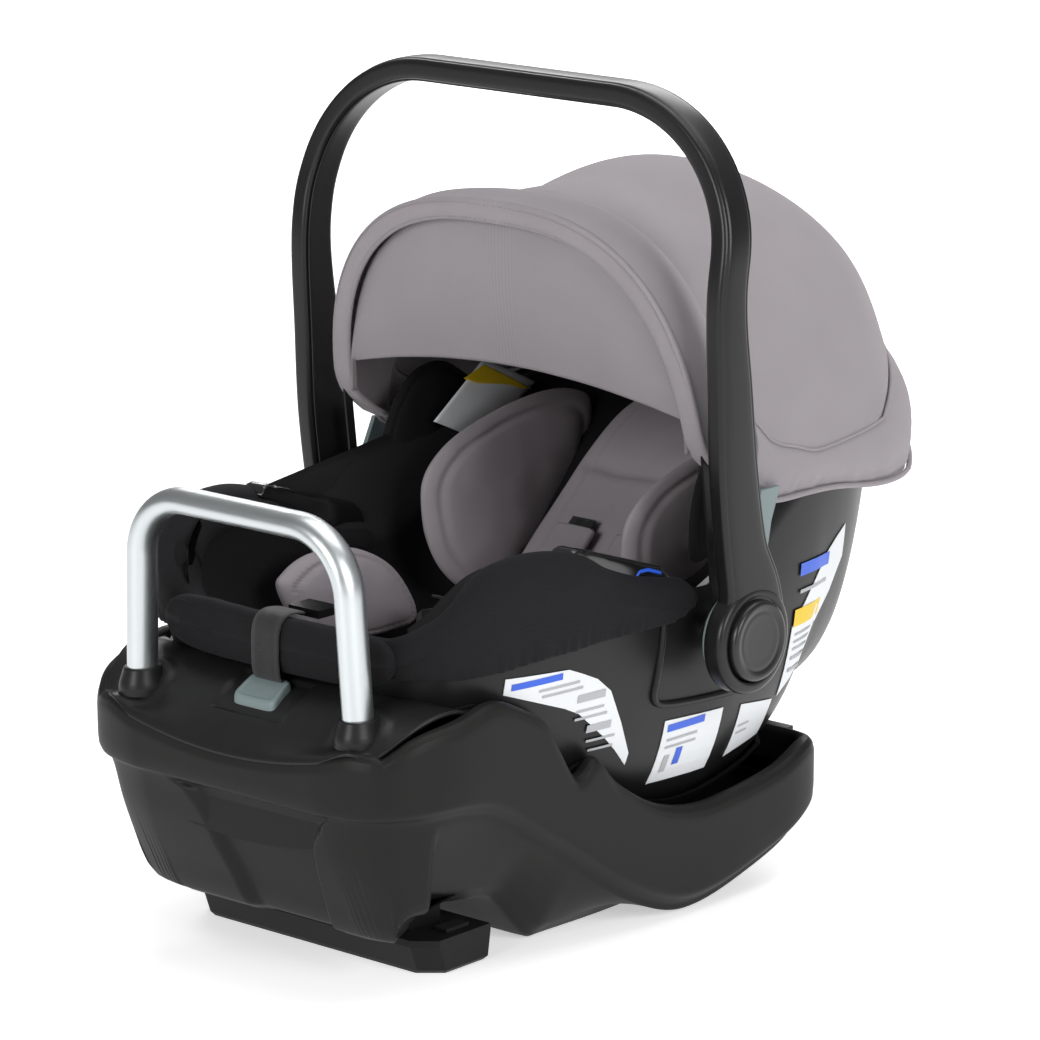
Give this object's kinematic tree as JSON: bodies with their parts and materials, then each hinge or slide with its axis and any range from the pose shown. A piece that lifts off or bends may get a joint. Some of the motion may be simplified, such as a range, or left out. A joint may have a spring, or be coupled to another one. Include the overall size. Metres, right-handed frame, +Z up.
{
  "type": "infant car seat",
  "caption": "Infant carrier seat with folding hood, swing carry handle and padded bucket, seated in a base with a rebound bar at the foot end.",
  "frame": {"origin": "centre of the footprint box, on the floor under the base", "axes": "+Z up, +Y towards the head end of the seat, X across it; the seat is the same on both sides of the plane X = 0"},
  "size_m": [0.44, 0.7039, 0.62],
  "materials": {
    "base_plastic": "fine textured charcoal moulding",
    "satin_black_plastic": "satin black moulding",
    "shell_plastic": "satin black moulded tub",
    "handle_plastic": "satin black, smooth",
    "hub_plastic": "satin black disc",
    "gloss_black_plastic": "polished black",
    "slate_plastic": "satin grey-green",
    "red_plastic": "satin red",
    "blue_mark": "blue marking",
    "label_paper": "blank white film",
    "satin_aluminium": "satin anodised",
    "zinc_steel": "zinc plated",
    "rubber": "matt black",
    "white_foam": "expanded bead foam",
    "webbing": "woven black webbing",
    "black_fabric": "soft black knit",
    "mauve_knit": "smooth mauve-grey stretch knit",
    "mauve_insert": "padded mauve-grey knit"
  },
  "bodies": {
    "base": {"base_shell": "base_plastic", "base_deck": "base_plastic", "base_tray": "satin_black_plastic", "grip_pads": "rubber", "rebound_bar": "satin_aluminium", "rebound_collars": "satin_black_plastic", "deck_screws": "zinc_steel", "release_spring": "zinc_steel", "hook_pin": "zinc_steel", "hook_spring": "zinc_steel", "anchor_belt": "webbing", "anchor_clips": "satin_black_plastic"},
    "carrier": {"carrier_shell": "shell_plastic", "shell_ribs": "shell_plastic", "foam_liner": "white_foam", "seat_pad": "black_fabric", "pad_rim": "black_fabric", "foot_roll": "black_fabric", "head_wings": "black_fabric", "insert_back": "mauve_insert", "insert_wings": "mauve_insert", "hip_bolsters": "mauve_insert", "crotch_strap": "webbing", "buckle": "satin_black_plastic", "hip_straps": "webbing", "shoulder_straps": "webbing", "strap_covers": "black_fabric", "chest_clip": "satin_black_plastic", "adjuster_strap": "webbing", "splitter_plate": "zinc_steel", "belt_guides": "gloss_black_plastic", "belt_marks": "blue_mark", "label_plates": "label_paper", "lock_bar": "zinc_steel", "pivot_pins": "zinc_steel", "detent_plates": "slate_plastic", "canopy_dome": "mauve_knit", "canopy_skirt": "mauve_knit", "canopy_brackets": "slate_plastic"},
    "handle": {"handle_bow": "handle_plastic", "handle_knuckles": "handle_plastic", "handle_liner": "handle_plastic", "button_springs": "zinc_steel"},
    "canopy": {"canopy_bow": "satin_black_plastic", "canopy_front": "mauve_knit", "canopy_binding": "mauve_knit", "visor": "mauve_knit"},
    "recline_foot": {"recline_foot": "base_plastic", "foot_pads": "rubber"},
    "release_button": {"release_button": "slate_plastic"},
    "lock_hook": {"lock_hook": "zinc_steel"},
    "buckle_button": {"buckle_button": "red_plastic"},
    "adjuster_button": {"adjuster_button": "slate_plastic"},
    "hub_button_right": {"hub_button_right": "hub_plastic"},
    "hub_button_left": {"hub_button_left": "hub_plastic"}
  },
  "joints": [
    {"name": "carrier_lift", "type": "slide", "parent": "base", "child": "carrier", "axis": [0, 0, 1], "range_m": [0, 0.28]},
    {"name": "handle_swing", "type": "hinge", "parent": "carrier", "child": "handle", "pos_m": [0, -0.01, 0.218], "axis": [-1, 0, 0], "range_deg": [0, 95]},
    {"name": "canopy_fold", "type": "hinge", "parent": "carrier", "child": "canopy", "pos_m": [0, -0.01, 0.218], "axis": [-1, 0, 0], "range_deg": [0, 47]},
    {"name": "foot_recline", "type": "slide", "parent": "base", "child": "recline_foot", "axis": [0, 0, -1], "range_m": [0, 0.025]},
    {"name": "release_press", "type": "slide", "parent": "base", "child": "release_button", "axis": [0, 0, -1], "range_m": [0, 0.005], "stiffness_N_per_m": 600},
    {"name": "lock_hook_turn", "type": "hinge", "parent": "base", "child": "lock_hook", "pos_m": [0, -0.252, 0.092], "axis": [1, 0, 0], "range_deg": [0, 10]},
    {"name": "buckle_press", "type": "slide", "parent": "carrier", "child": "buckle_button", "axis": [0, 1, 0], "range_m": [0, 0.0025], "stiffness_N_per_m": 800},
    {"name": "adjuster_press", "type": "slide", "parent": "carrier", "child": "adjuster_button", "axis": [0, 0, -1], "range_m": [0, 0.003], "stiffness_N_per_m": 500},
    {"name": "hub_press_right", "type": "slide", "parent": "handle", "child": "hub_button_right", "axis": [-1, 0, 0], "range_m": [0, 0.004], "stiffness_N_per_m": 800},
    {"name": "hub_press_left", "type": "slide", "parent": "handle", "child": "hub_button_left", "axis": [1, 0, 0], "range_m": [0, 0.004], "stiffness_N_per_m": 800}
  ],
  "couplings": [
    {"joint": "lock_hook_turn", "follows": "release_press", "rad_per_m": 30}
  ]
}
